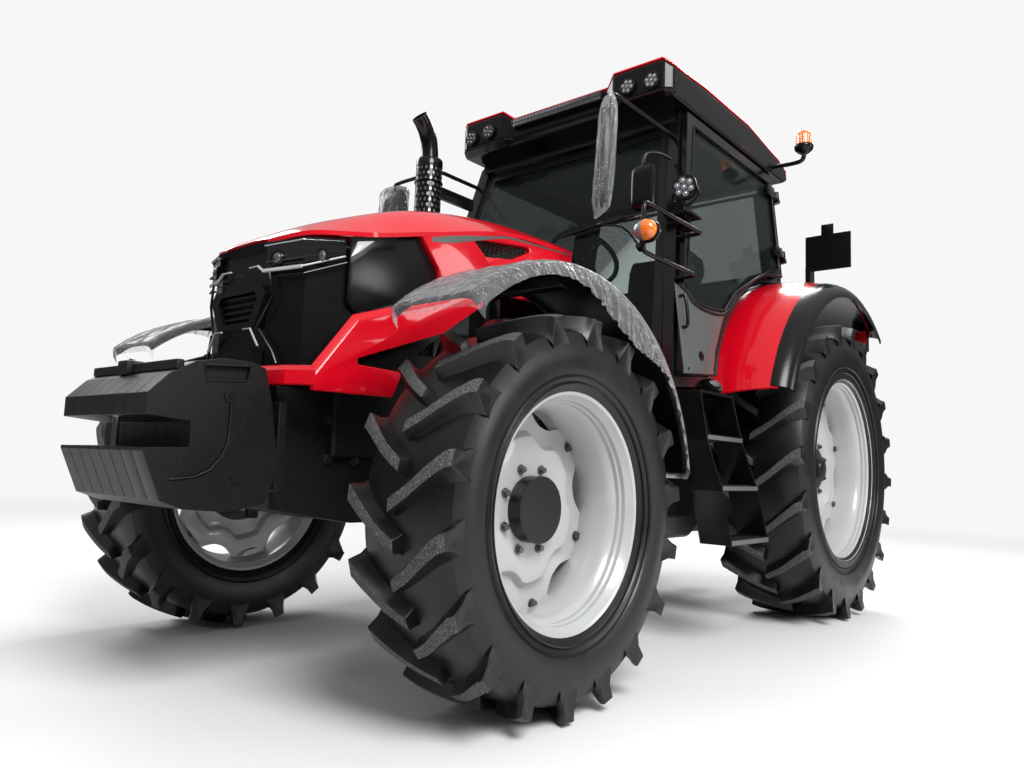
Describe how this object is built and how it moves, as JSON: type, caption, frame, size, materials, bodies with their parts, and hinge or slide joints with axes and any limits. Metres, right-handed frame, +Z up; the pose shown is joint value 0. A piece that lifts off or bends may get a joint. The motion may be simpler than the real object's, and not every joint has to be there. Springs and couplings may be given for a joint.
{
  "type": "farm tractor",
  "caption": "Four-wheel-drive farm tractor with a closed cab, sloping hood, front ballast weights, arched fenders, ladder steps and a rear three-point linkage.",
  "frame": {"origin": "on the ground under the middle of the tractor's length and width", "axes": "+X to the tractor's left side, -Y forward, +Z up"},
  "size_m": [2.28, 4.5, 2.8],
  "materials": {
    "red_paint": "gloss",
    "dark_cast": "satin paint over casting",
    "dark_plastic": "grained",
    "dark_steel": "satin",
    "rim_paint": "satin",
    "hub_paint": "satin",
    "tyre_rubber": "dusty",
    "pane_glass": "clear",
    "seat_cover": "woven",
    "lamp_lens": "clear",
    "amber_lens": "clear",
    "red_lens": "clear"
  },
  "bodies": {
    "chassis": {"engine_block": "dark_cast", "gearbox": "dark_cast", "rear_axle": "dark_cast", "front_bolster": "dark_cast", "weights": "dark_cast", "fuel_tanks": "dark_plastic", "steps": "dark_steel", "cab_tub": "dark_plastic", "cab_frame": "dark_steel", "windscreen": "pane_glass", "rear_window": "pane_glass", "roof": "dark_plastic", "roof_cap": "red_paint", "rear_fenders": "red_paint", "fender_lips": "dark_plastic", "dash": "dark_plastic", "steering_wheel": "dark_plastic", "seat_base": "dark_plastic", "seat": "seat_cover", "cowl": "dark_plastic", "exhaust": "dark_steel", "mirrors": "dark_plastic", "indicator_lamps": "amber_lens", "work_lamps": "lamp_lens", "beacon": "amber_lens", "tail_lamps": "red_lens", "plate_bracket": "dark_plastic", "top_link": "dark_cast", "drawbar": "dark_cast"},
    "hood": {"hood_shell": "red_paint", "grille_mask": "dark_plastic", "headlamps": "lamp_lens"},
    "front_axle": {"front_axle": "dark_cast"},
    "knuckle_left": {"knuckle_left": "dark_cast", "front_fender_left": "dark_plastic"},
    "knuckle_right": {"knuckle_right": "dark_cast", "front_fender_right": "dark_plastic"},
    "wheel_front_left": {"tyre_front_left": "tyre_rubber", "rim_front_left": "rim_paint", "hub_front_left": "hub_paint"},
    "wheel_front_right": {"tyre_front_right": "tyre_rubber", "rim_front_right": "rim_paint", "hub_front_right": "hub_paint"},
    "wheel_rear_left": {"tyre_rear_left": "tyre_rubber", "rim_rear_left": "rim_paint"},
    "wheel_rear_right": {"tyre_rear_right": "tyre_rubber", "rim_rear_right": "rim_paint"},
    "door_left": {"door_left": "dark_plastic", "door_glass_left": "pane_glass"},
    "door_right": {"door_right": "dark_plastic", "door_glass_right": "pane_glass"},
    "lift_arms": {"lift_arms": "dark_cast"},
    "lift_rods": {"lift_rods": "dark_cast"},
    "lower_links": {"lower_links": "dark_cast"}
  },
  "joints": [
    {"name": "axle_swing", "type": "hinge", "parent": "chassis", "child": "front_axle", "pos_m": [0, -1.25, 0.61], "axis": [0, -1, 0], "range_deg": [-7, 7]},
    {"name": "steer_left", "type": "hinge", "parent": "front_axle", "child": "knuckle_left", "pos_m": [0.74, -1.25, 0.625], "axis": [0, 0, 1], "range_deg": [-30, 30]},
    {"name": "steer_right", "type": "hinge", "parent": "front_axle", "child": "knuckle_right", "pos_m": [-0.74, -1.25, 0.625], "axis": [0, 0, 1], "range_deg": [-30, 30]},
    {"name": "roll_front_left", "type": "hinge", "parent": "knuckle_left", "child": "wheel_front_left", "pos_m": [0.9, -1.25, 0.625], "axis": [1, 0, 0], "continuous": true},
    {"name": "roll_front_right", "type": "hinge", "parent": "knuckle_right", "child": "wheel_front_right", "pos_m": [-0.9, -1.25, 0.625], "axis": [1, 0, 0], "continuous": true},
    {"name": "roll_rear_left", "type": "hinge", "parent": "chassis", "child": "wheel_rear_left", "pos_m": [0.885, 1.3, 0.815], "axis": [1, 0, 0], "continuous": true},
    {"name": "roll_rear_right", "type": "hinge", "parent": "chassis", "child": "wheel_rear_right", "pos_m": [-0.885, 1.3, 0.815], "axis": [1, 0, 0], "continuous": true},
    {"name": "hood_hinge", "type": "hinge", "parent": "chassis", "child": "hood", "pos_m": [0, -0.4, 1.7], "axis": [-1, 0, 0], "range_deg": [0, 45]},
    {"name": "door_hinge_left", "type": "hinge", "parent": "chassis", "child": "door_left", "pos_m": [0.78475, 1.208, 1.93084], "axis": [-0.1268, 0.0593, 0.9902], "range_deg": [0, 75]},
    {"name": "door_hinge_right", "type": "hinge", "parent": "chassis", "child": "door_right", "pos_m": [-0.78475, 1.208, 1.93084], "axis": [-0.1268, -0.0593, -0.9902], "range_deg": [0, 75]},
    {"name": "lift_shaft", "type": "hinge", "parent": "chassis", "child": "lift_arms", "pos_m": [0, 1.42, 1.14], "axis": [1, 0, 0], "range_deg": [-10, 35]},
    {"name": "rod_top", "type": "hinge", "parent": "lift_arms", "child": "lift_rods", "pos_m": [0, 1.72, 1.14], "axis": [1, 0, 0], "range_deg": [-35, 10]},
    {"name": "link_pivot", "type": "hinge", "parent": "chassis", "child": "lower_links", "pos_m": [0, 1.33, 0.5], "axis": [1, 0, 0], "range_deg": [-7.8, 27.1]}
  ],
  "couplings": [
    {"joint": "steer_right", "follows": "steer_left", "ratio": 1},
    {"joint": "rod_top", "follows": "lift_shaft", "ratio": -1},
    {"joint": "link_pivot", "follows": "lift_shaft", "ratio": 0.77}
  ]
}
